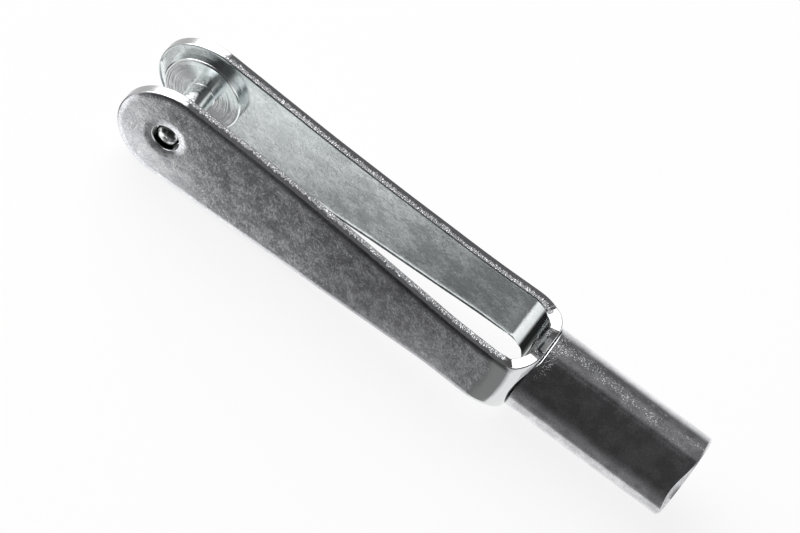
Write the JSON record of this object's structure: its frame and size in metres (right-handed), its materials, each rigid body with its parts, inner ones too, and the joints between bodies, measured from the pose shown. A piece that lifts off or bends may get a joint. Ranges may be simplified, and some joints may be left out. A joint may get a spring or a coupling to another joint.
{
  "type": "clevis rod end",
  "caption": "Folded steel fork with a flanged pin riveted across its mouth and a threaded sleeve riveted to its base, for linking a rod to a lever.",
  "frame": {"origin": "where the axis of the pin crosses the axis of the rod", "axes": "+X along the rod axis to the free end of the sleeve, +Y along the pin to the arm that carries it, +Z across the width of the strip"},
  "size_m": [0.0354, 0.0058, 0.0058],
  "materials": {
    "plated_sheet": "bright zinc plate over cold-rolled sheet, lightly scuffed",
    "plated_sleeve": "bright zinc plate over a turned surface",
    "plated_pin": "bright zinc plate with fine turning rings"
  },
  "bodies": {
    "root": {"fork": "plated_sheet", "threaded_sleeve": "plated_sleeve", "clevis_pin": "plated_pin"}
  },
  "joints": []
}
